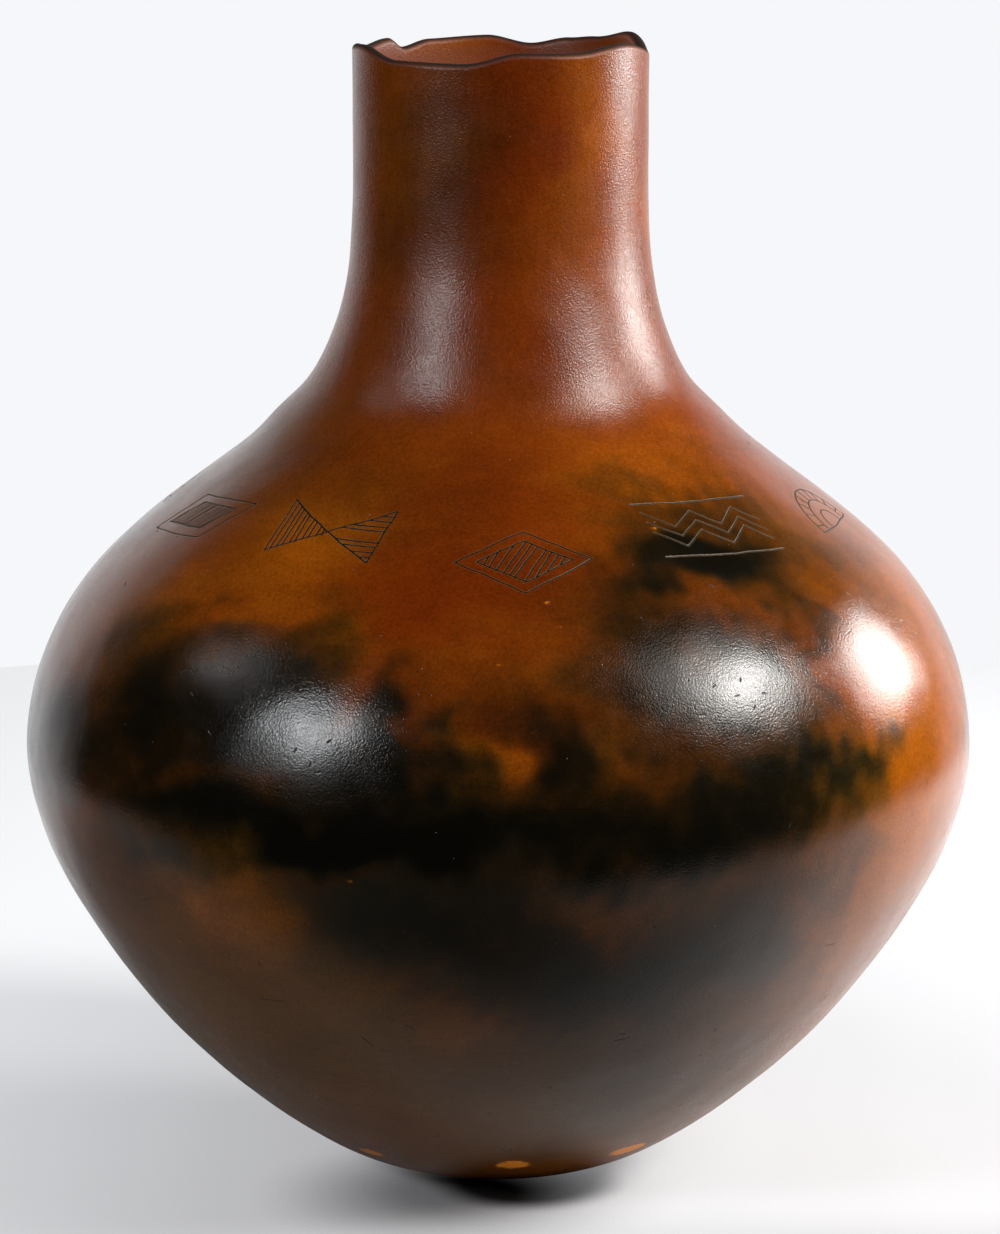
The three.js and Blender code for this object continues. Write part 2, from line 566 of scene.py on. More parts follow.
# Cell size away from the cuts, by how far along the section
PLAIN_CELLS = [
    (0, 6),
    (FLAT_EDGE - 5, 3),
    (FLAT_EDGE, FOOT_CELL),
    (FLAT_EDGE + 5, FOOT_CELL),
    (FLAT_EDGE + 30, OUTER_CELL),
    (LIP_TOP - 12, OUTER_CELL),
    (LIP_TOP - 4, LIP_CELL),
    (LIP_TOP + 4, LIP_CELL),
    (LIP_TOP + 14, 3),
    (LIP_TOP + 60, INNER_CELL),
    (SECTION_LENGTH[-1], INNER_CELL),
]


def radius_along(along):
    return np.interp(along, SECTION_LENGTH, SECTION[:, 0])


def rise_along(along):
    return np.interp(along, [WALL_START, LIP_TOP, FLOOR_EDGE], [0, WALL_LENGTH, 0])


# Lines drawn on the sheet

def heading(direction):
    """A step of 1 in a direction, in degrees up from the right."""
    angle = math.radians(direction)
    return np.array([math.cos(angle), math.sin(angle)])


def line_between(*points):
    return [np.array(points, float)]


def hatch(corners, lines, direction):
    """Parallel strokes across a convex shape, spread evenly over it."""
    corners = np.array(corners, float)
    along = heading(direction)
    across = np.array([-along[1], along[0]])
    reach = corners @ across
    strokes = []
    for level in np.linspace(reach.min(), reach.max(), lines + 2)[1:-1]:
        hits = []
        for a, b in zip(corners, np.roll(corners, -1, axis=0)):
            low, high = a @ across, b @ across
            if (low - level) * (high - level) < 0:
                hits.append(a + (b - a) * (level - low) / (high - low))
        if len(hits) == 2:
            strokes.append(np.array(hits))
    return strokes


def outline_of(corners):
    return line_between(*corners, corners[0])


def lozenge():
    """A hatched diamond inside a plain one."""
    big = [(-29, 0), (0, -17), (29, 0), (0, 17)]
    small = [(-20, 0), (0, -11.5), (20, 0), (0, 11.5)]
    return outline_of(big) + outline_of(small) + hatch(small, 10, 60)


def hourglass():
    """Two hatched triangles, tip to tip."""
    left = [(-26, -15), (-26, 15), (0, 0)]
    right = [(26, -15), (26, 15), (0, 0)]
    return outline_of(left) + outline_of(right) + hatch(left, 9, 90) + hatch(right, 9, 0)


def chevrons():
    """Nested zigzags between two rules."""
    strokes = line_between((-32, 16), (32, 16)) + line_between((-32, -16), (32, -16))
    for drop in (0, 6, 12):
        zigzag = [(x, 11 - drop - (9 if turn % 2 else 0)) for turn, x in enumerate(range(-30, 31, 12))]
        strokes += line_between(*zigzag)
    return strokes


def arcs():
    """Three half rings over a rule, with rays between the outer two."""
    strokes = line_between((-24, -10), (24, -10))
    for radius in (9, 16, 23):
        turn = np.linspace(0, math.pi, 40)
        strokes += [np.stack([radius * np.cos(turn), radius * np.sin(turn) - 10], axis=1)]
    for turn in np.linspace(0.2, math.pi - 0.2, 9):
        ray = np.array([math.cos(turn), math.sin(turn)])
        strokes += line_between(ray * 16.5 - [0, 10], ray * 22.5 - [0, 10])
    return strokes


def ladder():
    """A slanting band with rungs."""
    band = [(-30, -12), (14, -12), (30, 12), (-14, 12)]
    inner = [(-22, -7), (9, -7), (20, 7), (-9, 7)]
    return outline_of(band) + outline_of(inner) + hatch(inner, 12, 56)


# Motifs round the shoulder: kind, azimuth and rise up the wall
MOTIFS = [
    (lozenge, 4, 392),
    (chevrons, 40, 404),
    (arcs, 75, 398),
    (hourglass, 110, 402),
    (ladder, 146, 396),
    (lozenge, -166, 402),
    (chevrons, -132, 398),
    (arcs, -98, 404),
    (ladder, -64, 400),
    (hourglass, -31, 404),
]

# Pits and short cracks: azimuth, height, length and direction
SCARS = [
    (-21, 218, 2.6, 10),
    (-22, 221, 1.4, 80),
    (25, 240, 2.6, 0),
    (30, 246, 2.4, 8),
    (24, 253, 1.2, 70),
    (27, 250, 2, 40),
    (31, 251, 1.5, 60),
    (34, 245, 1.6, -10),
    (32, 240, 2, 35),
    (-20, 231, 1.5, 20),
    (-24, 226, 1.8, 60),
    (-32, 111, 14, 4),
    (-19, 95, 8, -60),
    (-12, 104, 5, -30),
    (18, 96, 7, 12),
    (48, 128, 6, -8),
    (-48, 150, 5, 20),
    (-5, 140, 3, 0),
    (12, 205, 3, 30),
    (-40, 243, 3, -20),
    (52, 262, 4, 6),
    (100, 120, 12, 5),
    (132, 215, 5, -10),
    (170, 100, 9, 14),
    (186, 240, 4, 0),
    (215, 130, 11, -12),
    (250, 210, 5, 8),
]
STRAY_SCARS = 110
STRAY_LENGTHS = (0.8, 3.4)
STRAY_HEIGHTS = (28, 340)
STRAY_SLANT = 35


def hand_drawn(stroke, hand):
    """A stroke at even steps, with the waver of a point held in the hand."""
    length = travelled(stroke)
    steps = max(2, round(length[-1] / STROKE_STEP))
    places = np.linspace(0, length[-1], steps + 1)
    line = np.stack([np.interp(places, length, stroke[:, i]) for i in (0, 1)], axis=1)
    knots = np.linspace(0, length[-1], max(2, steps // 4))
    for i in (0, 1):
        line[:, i] += np.interp(places, knots, hand.normal(0, HAND_WAVER, len(knots)))
    return line + hand.normal(0, HAND_SLIP, 2)


def on_sheet(stroke, azimuth, rise):
    """Moves a stroke drawn about a centre onto the sheet, as azimuth in radians and distance along."""
    along = WALL_START + rise + stroke[:, 1]
    return np.stack([math.radians(azimuth) + stroke[:, 0] / radius_along(along), along], axis=1)


def draw_motifs():
    hand = np.random.default_rng(STROKE_SEED)
    strokes = []
    for motif, azimuth, rise in MOTIFS:
        tilt = math.radians(hand.normal(0, HAND_TILT))
        turn = np.array([[math.cos(tilt), math.sin(tilt)], [-math.sin(tilt), math.cos(tilt)]])
        strokes += [on_sheet(hand_drawn(stroke, hand) @ turn, azimuth, rise) for stroke in motif()]
    return strokes


def rise_at_height(height):
    return np.interp(height, OUTER_LINE[:, 1], OUTER_RISE)


def wrapped(azimuth):
    return (np.asarray(azimuth) + 180) % 360 - 180


def draw_scars():
    hand = np.random.default_rng(STROKE_SEED + 1)
    strokes = []
    stray = np.stack([
        hand.uniform(-180, 180, STRAY_SCARS),
        hand.uniform(*STRAY_HEIGHTS, STRAY_SCARS),
        hand.uniform(*STRAY_LENGTHS, STRAY_SCARS),
        hand.normal(0, STRAY_SLANT, STRAY_SCARS),
    ], axis=1)
    for azimuth, height, length, direction in [*SCARS, *stray]:
        reach = length / 2 * heading(direction)
        stroke = hand_drawn(np.array([-reach, reach]), hand)
        strokes.append(on_sheet(stroke, float(wrapped(azimuth)), rise_at_height(height)))
    return strokes


# The sheet, finer where a line is cut

def distance_to_strokes(strokes):
    """A map of the sheet that holds the distance to the nearest stroke, where one is close."""
    points = np.concatenate([*strokes, *((stroke[1:] + stroke[:-1]) / 2 for stroke in strokes)])
    rows = math.ceil(LIP_TOP / MAP_ROW)
    nearest = np.full((rows, MAP_COLUMNS), np.inf)
    sideways, upwards = (np.arange(-reach, reach + 1) for reach in (3 * MAP_REACH, MAP_REACH))
    column_reach, row_reach = np.meshgrid(sideways, upwards)
    column = np.floor((points[:, :1] + math.pi) / MAP_COLUMN) + column_reach.ravel()
    row = np.clip(np.floor(points[:, 1:] / MAP_ROW) + row_reach.ravel(), 0, rows - 1)
    across = ((column + 0.5) * MAP_COLUMN - math.pi - points[:, :1]) * radius_along(points[:, 1:])
    up = (row + 0.5) * MAP_ROW - points[:, 1:]
    on_map = (row.astype(int), column.astype(int) % MAP_COLUMNS)
    np.minimum.at(nearest, on_map, np.hypot(across, up))
    return nearest


def cells_of_sheet(strokes):
    """Halves the root cells, longer side first, until each is as fine as its place asks."""
    nearest = distance_to_strokes(strokes)
    steps_round = COLUMNS * ROUND_STEPS
    rows = len(ROW_EDGES) - 1
    column, row = np.meshgrid(np.arange(COLUMNS), np.arange(rows))
    left, low = column.ravel() * ROUND_STEPS, row.ravel() * RISE_STEPS
    cells = np.stack([left, left + ROUND_STEPS, low, low + RISE_STEPS], axis=1)
    finished = []
    while len(cells):
        middle = (cells[:, 0] + cells[:, 1]) * math.pi / steps_round
        bottom, top = along_at(cells[:, 2]), along_at(cells[:, 3])
        along = (bottom + top) / 2
        steps_wide = cells[:, 1] - cells[:, 0]
        width = steps_wide * radius_along(along) * 2 * math.pi / steps_round
        height = top - bottom
        on_map = (
            np.minimum(along / MAP_ROW, len(nearest) - 1).astype(int),
            np.minimum(middle / MAP_COLUMN, MAP_COLUMNS - 1).astype(int),
        )
        gap = np.maximum(nearest[on_map] - np.hypot(width, height) / 2 - CUT_MARGIN, 0)
        gap[along > LIP_TOP] = np.inf
        wanted = np.minimum(np.interp(along, *zip(*PLAIN_CELLS)), CUT_CELL + CELL_GROWTH * gap)
        steps_high = cells[:, 3] - cells[:, 2]
        widthways = (width >= height) & (steps_wide > 1)
        split = (np.maximum(width, height) > wanted) & (widthways | (steps_high > 1))
        finished.append(cells[~split])
        parents, widthways = cells[split], widthways[split]
        first, second = parents.copy(), parents.copy()
        halfway = parents[:, :1] + parents[:, 1:2] >> 1, parents[:, 2:3] + parents[:, 3:] >> 1
        for axis, chosen in ((0, widthways), (1, ~widthways)):
            first[chosen, 2 * axis + 1] = halfway[axis][chosen, 0]
            second[chosen, 2 * axis] = halfway[axis][chosen, 0]
        cells = np.concatenate([first, second])
    return np.concatenate(finished)


def along_at(step):
    return np.interp(step / RISE_STEPS, np.arange(len(ROW_EDGES)), ROW_EDGES)


def sheet_mesh(cells):
    """A flat mesh of the cells. Where a finer cell's corner lies on an edge, the face takes it in."""
    across = COLUMNS * ROUND_STEPS + 1
    upward = (len(ROW_EDGES) - 1) * RISE_STEPS + 1
    left, right, low, high = cells.T
    by_row = np.unique(np.concatenate([y * across + x for x in (left, right) for y in (low, high)]))
    x, y = by_row % across, by_row // across
    by_column = x * upward + y
    order = np.argsort(by_column)
    by_column = by_column[order]

    def row_place(x, y):
        return np.searchsorted(by_row, y * across + x)

    def column_place(x, y):
        return np.searchsorted(by_column, x * upward + y)

    start = np.stack([row_place(left, low), column_place(right, low),
                      row_place(right, high), column_place(left, high)], axis=1)
    end = np.stack([row_place(right, low), column_place(right, high),
                    row_place(left, high), column_place(left, low)], axis=1)
    count = np.abs(end - start)
    step = np.tile([1, 1, -1, -1], (len(cells), 1))
    side = np.repeat(np.arange(count.size), count.ravel())
    listed = start.ravel()[side] + step.ravel()[side] * counted(count.ravel())
    corner = np.where(side % 2 == 0, listed, order[np.minimum(listed, len(order) - 1)])

    mesh = bpy.data.meshes.new("sheet")
    azimuth = x / (across - 1) * 2 * math.pi - math.pi
    along = along_at(y)
    points = np.stack([azimuth, along * MM, np.zeros(len(x))], axis=1)
    fill_mesh(mesh, points, corner, count.sum(axis=1))
    add_values(mesh, "piece", ROW_PIECE[low // RISE_STEPS], "INT", "FACE")
    lap = np.zeros(len(x), int)
    for number in range(COILS):
        lap[y == (FIRST_OUTER_LAP + number) * RISE_STEPS] = number + 1
        lap[y == (LAST_INNER_LAP - number) * RISE_STEPS] = -number - 1
    add_values(mesh, "lap", lap, "INT")
    return mesh, np.degrees(azimuth), along


def counted(lengths):
    """0, 1, 2 and so on for each run, one run after another."""
    return np.arange(lengths.sum()) - np.repeat(np.cumsum(lengths) - lengths, lengths)


def fill_mesh(mesh, points, corners, sizes):
    mesh.vertices.add(len(points))
    mesh.vertices.foreach_set("co", np.asarray(points, np.float32).ravel())
    mesh.loops.add(len(corners))
    mesh.loops.foreach_set("vertex_index", np.asarray(corners, np.int32))
    mesh.polygons.add(len(sizes))
    mesh.polygons.foreach_set("loop_start", (np.cumsum(sizes) - sizes).astype(np.int32))
    mesh.update(calc_edges=True)


def add_values(mesh, name, values, kind="FLOAT", domain="POINT"):
    attribute = mesh.attributes.new(name, kind, domain)
    attribute.data.foreach_set("value", np.asarray(values, np.int32 if kind == "INT" else np.float32))


# Where the fire marked the wall, and where the rim rises

def smoothstep(value, low, high):
    t = np.clip((value - low) / (high - low), 0, 1)
    return t * t * (3 - 2 * t)


def swirled(azimuth, along):
    """Carries each place a little way about, as a draught carries smoke."""
    draught = np.random.default_rng(DRAUGHT_SEED)
    radius = np.maximum(radius_along(along), 1)
    angle = np.radians(azimuth)
    places = np.stack([radius * np.sin(angle), radius * np.cos(angle), rise_along(along)], axis=1)
    moved = np.zeros((len(azimuth), 2))
    for size in SWIRL_SIZES:
        for _ in range(SWIRLS):
            wave = draught.normal(0, 1, 3)
            wave *= 2 * math.pi / size / np.linalg.norm(wave)
            turn = places @ wave + draught.uniform(0, 2 * math.pi)
            reach = DRAUGHT * (size / SWIRL_SIZES[0]) ** SWIRL_FADE / math.sqrt(3)
            moved += np.sin(turn)[:, None] * draught.normal(0, reach, 2)
    return azimuth + np.degrees(moved[:, 0] / radius) * (radius > DRAUGHT), along + moved[:, 1]


def cloud(spots, azimuth, along):
    """How thickly a group of clouds lies at each place, or how far the wall is pushed."""
    radius = np.maximum(radius_along(along), 1)
    rise = rise_along(along)
    thickness = np.zeros(len(azimuth))
    for spot_azimuth, height, half_width, half_height, thick in spots:
        across = np.radians(wrapped(azimuth - spot_azimuth)) * radius / half_width
        up = (rise - rise_at_height(height)) / half_height
        thickness += thick * np.exp(-math.log(2) * (across ** 2 + up ** 2))
    return thickness


def rim_rise(azimuth):
    """Height of the rim's wave, eased from each listed point to the next."""
    listed, rises = np.array(RIM_WAVE).T
    azimuth = np.where(azimuth < listed[0], azimuth + 360, azimuth)
    after = np.clip(np.searchsorted(listed, azimuth), 1, len(listed) - 1)
    share = smoothstep(azimuth, listed[after - 1], listed[after])
    return rises[after - 1] + (rises[after] - rises[after - 1]) * share


def mark_sheet(mesh, azimuth, along):
    height = np.interp(along, SECTION_LENGTH, SECTION[:, 1])
    wave = rim_rise(azimuth) * smoothstep(height, POT_HEIGHT - WAVE_DEPTH, POT_HEIGHT - LIP_WALL / 2)
    add_values(mesh, "wave", wave * MM)
    outwards = np.where(along < LIP_TOP, MM, -MM)
    add_values(mesh, "pushed", cloud(PRESSED, azimuth, along) * outwards)
    carried = swirled(azimuth, along)
    for name, spots in CLOUDS.items():
        add_values(mesh, name, np.maximum(cloud(spots, *carried), 0))
    add_values(mesh, "fleck", cloud(FLECKS, azimuth, along))
    add_values(mesh, "scraped", smoothstep(along - LIP_TOP, *SCRAPED_EDGE))
    add_values(mesh, "lip", 1 - smoothstep(np.abs(along - LIP_TOP), *LIP_EDGE))


# Node trees

def place(tree, kind, sockets=None, **settings):
    """Adds a node, sets what it is told to, and links or fills its sockets by name or number."""
    node = tree.nodes.new(kind)
    for name, value in settings.items():
        setattr(node, name, value)
    for name, value in (sockets or {}).items():
        if isinstance(value, bpy.types.NodeSocket):
            tree.links.new(value, node.inputs[name])
        else:
            node.inputs[name].default_value = value
    return node


def use(tree, group, sockets):
    """Places a node group, and returns its outputs."""
    kind = tree.bl_idname.replace("NodeTree", "NodeGroup")
    return place(tree, kind, sockets, node_tree=group).outputs


def calc(tree, operation, *values):
    return place(tree, "ShaderNodeMath", dict(enumerate(values)), operation=operation).outputs[0]


def vector_calc(tree, operation, *values):
    names = (0, "Scale") if operation == "SCALE" else range(len(values))
    node = place(tree, "ShaderNodeVectorMath", dict(zip(names, values)), operation=operation)
    return node.outputs["Value" if operation in ("LENGTH", "DOT_PRODUCT") else "Vector"]


def times(tree, first, second):
    return calc(tree, "MULTIPLY", first, second)


def centred(tree, value):
    """Noise as it lies about its middle."""
    return calc(tree, "SUBTRACT", value, 0.5)


def one_over(tree, value):
    return calc(tree, "DIVIDE", 1.0, value)


def parted(tree, vector):
    """The X, Y and Z of a vector."""
    return place(tree, "ShaderNodeSeparateXYZ", {0: vector}).outputs


def joined(tree, x, y, z):
    """A vector, or a colour, of three values."""
    return place(tree, "ShaderNodeCombineXYZ", {0: x, 1: y, 2: z}).outputs[0]


def ramp(tree, value, low, high, to_low=0.0, to_high=1.0, smooth=True):
    """Eases a value between two levels."""
    sockets = {"Value": value, "From Min": low, "From Max": high, "To Min": to_low, "To Max": to_high}
    kind = "SMOOTHSTEP" if smooth else "LINEAR"
    return place(tree, "ShaderNodeMapRange", sockets, interpolation_type=kind).outputs["Result"]


def by_height(tree, height, low, high, to_low=0.0, to_high=1.0):
    """Eases a value between two heights, in millimetres."""
    return ramp(tree, height, low * MM, high * MM, to_low, to_high)


def spread(tree, value, low=0.0, high=1.0):
    """Spreads noise, which mostly keeps between 0.3 and 0.7, from one level to another."""
    return ramp(tree, value, 0.3, 0.7, low, high)


def noise(tree, vector, scale, detail=2.0, roughness=0.5, seed=0.0):
    sockets = {"Vector": vector, "W": seed, "Scale": scale, "Detail": detail, "Roughness": roughness}
    return place(tree, "ShaderNodeTexNoise", sockets, noise_dimensions="4D")


def mix(tree, factor, first, second, blend="MIX"):
    """Mixes two colours."""
    sockets = {0: factor, 6: first, 7: second}
    return place(tree, "ShaderNodeMix", sockets, data_type="RGBA", blend_type=blend).outputs[2]


def between(tree, factor, first, second):
    """Mixes two values."""
    return place(tree, "ShaderNodeMix", {0: factor, 2: first, 3: second}, data_type="FLOAT").outputs[0]


def new_tree(name, kind, inputs, outputs):
    """A node group with named sockets. Returns it with its inputs, and a function that fills its outputs."""
    tree = bpy.data.node_groups.new(name, kind)
    for in_out, sockets in (("INPUT", inputs), ("OUTPUT", outputs)):
        for socket_name, (socket_kind, value) in sockets.items():
            socket_type = "NodeSocket" + socket_kind
            socket = tree.interface.new_socket(socket_name, in_out=in_out, socket_type=socket_type)
            if value is not None:
                socket.default_value = value
    given = tree.nodes.new("NodeGroupInput").outputs
    result = tree.nodes.new("NodeGroupOutput").inputs

    def hand_out(**sockets):
        for socket_name, value in sockets.items():
            tree.links.new(value, result[socket_name.capitalize()])
    return tree, given, hand_out


GEOMETRY = {"Geometry": ("Geometry", None)}


def turning_tree():
    """Turns a flat sheet, azimuth across and distance along, into the round of a section."""
    tree, given, hand_out = new_tree("turn_to_the_round", "GeometryNodeTree", {
        **GEOMETRY,
        "Section": ("Object", None),
        "Lean": ("Float", 0.0),
    }, GEOMETRY)
    azimuth, along, _ = parted(tree, place(tree, "GeometryNodeInputPosition").outputs[0])
    section = place(tree, "GeometryNodeObjectInfo", {"Object": given["Section"]}).outputs["Geometry"]
    drawn = place(tree, "GeometryNodeSampleCurve", {"Curves": section, "Length": along}, mode="LENGTH")
    radius, _, height = parted(tree, drawn.outputs["Position"])
    sideways = times(tree, radius, calc(tree, "SINE", azimuth))
    leaning = calc(tree, "MULTIPLY_ADD", height, given["Lean"], sideways)
    backwards = times(tree, times(tree, radius, calc(tree, "COSINE", azimuth)), -1.0)
    moved = place(tree, "GeometryNodeSetPosition", {
        "Geometry": given["Geometry"],
        "Position": joined(tree, leaning, backwards, height),
    })
    hand_out(geometry=moved.outputs[0])
    return tree


def cut_line(tree, turn, given, lines, width, depth):
    """How far the clay moves beside the lines, and how near the middle of one each point is."""
    drawn = place(tree, "GeometryNodeObjectInfo", {"Object": given[lines]}).outputs["Geometry"]
    laid = use(tree, turn, {"Geometry": drawn, "Section": given["Section"], "Lean": given["Lean"]})[0]
    near = place(tree, "GeometryNodeProximity", {0: laid}, target_element="EDGES")
    share = calc(tree, "DIVIDE", near.outputs["Distance"], given[width])
    shape = place(tree, "ShaderNodeFloatCurve", {"Value": calc(tree, "MINIMUM", share, 1.0)})
    curve = shape.mapping.curves[0]
    curve.points[0].location = CUT_SECTION[0]
    curve.points[1].location = CUT_SECTION[-1]
    for point in CUT_SECTION[1:-1]:
        curve.points.new(*point)
    shape.mapping.update()
    height = calc(tree, "SUBTRACT", shape.outputs[0], CUT_LEVEL)
    return times(tree, height, given[depth]), ramp(tree, share, 0.1, 1.0, 1.0, 0.0, smooth=False)


def wall_tree():
    """Turns the sheet, pinches the rim, lets the hands show, and cuts the lines into the clay."""
    turn = turning_tree()
    tree, given, hand_out = new_tree("coiled_wall", "GeometryNodeTree", {
        **GEOMETRY,
        "Section": ("Object", None),
        "Lean": ("Float", 0.0),
        "Incised lines": ("Object", None),
        "Cut width": ("Float", 0.001),
        "Cut depth": ("Float", 0.0005),
        "Scars": ("Object", None),
        "Scar width": ("Float", 0.001),
        "Scar depth": ("Float", 0.0005),
        "Undulation": ("Float", 0.001),
        "Undulation size": ("Float", 0.1),
        "Dent": ("Float", 0.0002),
        "Dent size": ("Float", 0.03),
        "Seed": ("Float", 0.0),
        "Clay": ("Material", None),
    }, GEOMETRY)

    def on_the_sheet(name):
        node = place(tree, "GeometryNodeInputNamedAttribute", {"Name": name}, data_type="FLOAT")
        return node.outputs["Attribute"]

    turned = use(tree, turn, {name: given[name] for name in ("Geometry", "Section", "Lean")})[0]
    lift = joined(tree, 0.0, 0.0, on_the_sheet("wave"))
    pinched = place(tree, "GeometryNodeSetPosition", {"Geometry": turned, "Offset": lift})
    closed = place(tree, "GeometryNodeMergeByDistance", {
        "Geometry": pinched.outputs[0],
        "Distance": CLOSING_GAP * MM,
    })

    cut, incised = cut_line(tree, turn, given, "Incised lines", "Cut width", "Cut depth")
    scar, scarred = cut_line(tree, turn, given, "Scars", "Scar width", "Scar depth")
    marked = closed.outputs[0]
    for name, value in (("incised", incised), ("scarred", scarred)):
        sockets = {"Geometry": marked, "Name": name, "Value": value}
        marked = place(tree, "GeometryNodeStoreNamedAttribute", sockets, data_type="FLOAT").outputs[0]

    position = place(tree, "GeometryNodeInputPosition").outputs[0]
    off_the_foot = by_height(tree, parted(tree, position)["Z"], *UNEVEN_FROM)
    roll = noise(tree, position, one_over(tree, given["Undulation size"]), 1.0, 0.4, given["Seed"])
    rolled = vector_calc(tree, "SUBTRACT", roll.outputs["Color"], (0.5, 0.5, 0.5))
    rolled = vector_calc(tree, "MULTIPLY", rolled, UNDULATION_SHARE)
    sway = vector_calc(tree, "SCALE", rolled, times(tree, given["Undulation"], off_the_foot))
    press = noise(tree, position, one_over(tree, given["Dent size"]), 1.5, 0.45, given["Seed"])
    pressed = times(tree, centred(tree, press.outputs[0]), given["Dent"])
    pressed = times(tree, times(tree, pressed, NOISE_SPREAD), off_the_foot)
    pressed = calc(tree, "ADD", pressed, cut)
    pushed = calc(tree, "ADD", on_the_sheet("pushed"), scar)
    depth = calc(tree, "ADD", pressed, pushed)
    normal = place(tree, "GeometryNodeInputNormal").outputs["Normal"]
    offset = vector_calc(tree, "ADD", vector_calc(tree, "SCALE", normal, depth), sway)
    shaped = place(tree, "GeometryNodeSetPosition", {"Geometry": marked, "Offset": offset})
    smooth = place(tree, "GeometryNodeSetShadeSmooth", {"Geometry": shaped.outputs[0]})
    real = place(tree, "GeometryNodeRealizeInstances", {"Geometry": smooth.outputs[0]})
    sockets = {"Geometry": real.outputs[0], "Material": given["Clay"]}
    hand_out(geometry=place(tree, "GeometryNodeSetMaterial", sockets).outputs[0])
    return tree


def add_object(name, data):
    piece = bpy.data.objects.new(name, data)
    bpy.context.scene.collection.objects.link(piece)
    return piece


def section_curve():
    curve = bpy.data.curves.new("section", "CURVE")
    curve.dimensions = "3D"
    spline = curve.splines.new("POLY")
    spline.points.add(len(SECTION) - 1)
    points = np.zeros((len(SECTION), 4))
    points[:, 0], points[:, 2], points[:, 3] = SECTION[:, 0] * MM, SECTION[:, 1] * MM, 1
    spline.points.foreach_set("co", points.ravel())
    return add_object("section", curve)


def stroke_object(name, strokes):
    """Strokes on the flat sheet, as loose edges."""
    points, edges = [], []
    for stroke in strokes:
        first = len(points)
        points += [(azimuth, along * MM, 0) for azimuth, along in stroke]
        edges += [(i, i + 1) for i in range(first, len(points) - 1)]
    mesh = bpy.data.meshes.new(name)
    mesh.from_pydata(points, edges, [])
    return add_object(name, mesh)


def set_inputs(modifier, values):
    """Gives a Geometry Nodes modifier its inputs, by the identifier of each named socket."""
    for item in modifier.node_group.interface.items_tree:
        if item.item_type == "SOCKET" and item.in_out == "INPUT" and item.name in values:
            modifier[item.identifier] = values[item.name]


def turned_wall(clay):
    """The whole skin of the pot as one mesh."""
    motifs, scars = draw_motifs(), draw_scars()
    mesh, azimuth, along = sheet_mesh(cells_of_sheet(motifs + scars))
    mark_sheet(mesh, azimuth, along)
    sheet = add_object("sheet", mesh)
    helpers = [sheet, section_curve(), stroke_object("incised_lines", motifs), stroke_object("scars", scars)]
    modifier = sheet.modifiers.new("coiled_wall", "NODES")
    modifier.node_group = wall_tree()
    set_inputs(modifier, {
        "Section": helpers[1],
        "Lean": LEAN,
        "Incised lines": helpers[2],
        "Cut width": CUT_WIDTH * MM,
        "Cut depth": CUT_DEPTH * MM,
        "Scars": helpers[3],
        "Scar width": SCAR_WIDTH * MM,
        "Scar depth": SCAR_DEPTH * MM,
        "Undulation": UNDULATION * MM,
        "Undulation size": UNDULATION_SIZE * MM,
        "Dent": DENT * MM,
        "Dent size": DENT_SIZE * MM,
        "Seed": HAND_SEED,
        "Clay": clay,
    })
    skin = bpy.data.meshes.new_from_object(sheet.evaluated_get(bpy.context.evaluated_depsgraph_get()))
    for helper in helpers:
        helper.modifiers.clear()
        bpy.data.objects.remove(helper)
    return skin


# Cutting the skin into its slab and coils

WALL_MARKS = [*CLOUDS, "fleck", "scraped", "lip", "incised", "scarred"]


def read(items, name, width=1, kind=np.float32):
    values = np.empty(len(items) * width, kind)
    items.foreach_get(name, values)
    return values.reshape(-1, width) if width > 1 else values


def read_skin(mesh):
    return SimpleNamespace(
        points=read(mesh.vertices, "co", 3),
        corner=read(mesh.loops, "vertex_index", kind=np.int32),
        normal=read(mesh.corner_normals, "vector", 3),
        start=read(mesh.polygons, "loop_start", kind=np.int32),
        size=read(mesh.polygons, "loop_total", kind=np.int32),
        piece=read(mesh.attributes["piece"].data, "value", kind=np.int32),
        lap=read(mesh.attributes["lap"].data, "value", kind=np.int32),
        marks={name: read(mesh.attributes[name].data, "value") for name in WALL_MARKS},
    )


def lap_face(skin, number):
    """Triangles that close a lap, facing up, from its outer ring to its inner ring."""
    rings = []
    for sign in (1, -1):
        ring = np.flatnonzero(skin.lap == sign * (number + 1))
        angle = np.arctan2(skin.points[ring, 0], -skin.points[ring, 1])
        rings.append((ring[np.argsort(angle)], np.sort(angle)))
    (outer, outer_angle), (inner, inner_angle) = rings
    from_outer = np.argsort(np.concatenate([outer_angle, inner_angle])) < len(outer)
    on_outer, on_inner = np.cumsum(from_outer) - 1, np.cumsum(~from_outer) - 1
    return np.where(
        from_outer[:, None],
        np.stack([outer[on_outer - 1], outer[on_outer], inner[on_inner]], axis=1),
        np.stack([inner[on_inner], inner[on_inner - 1], outer[on_outer]], axis=1),
    )


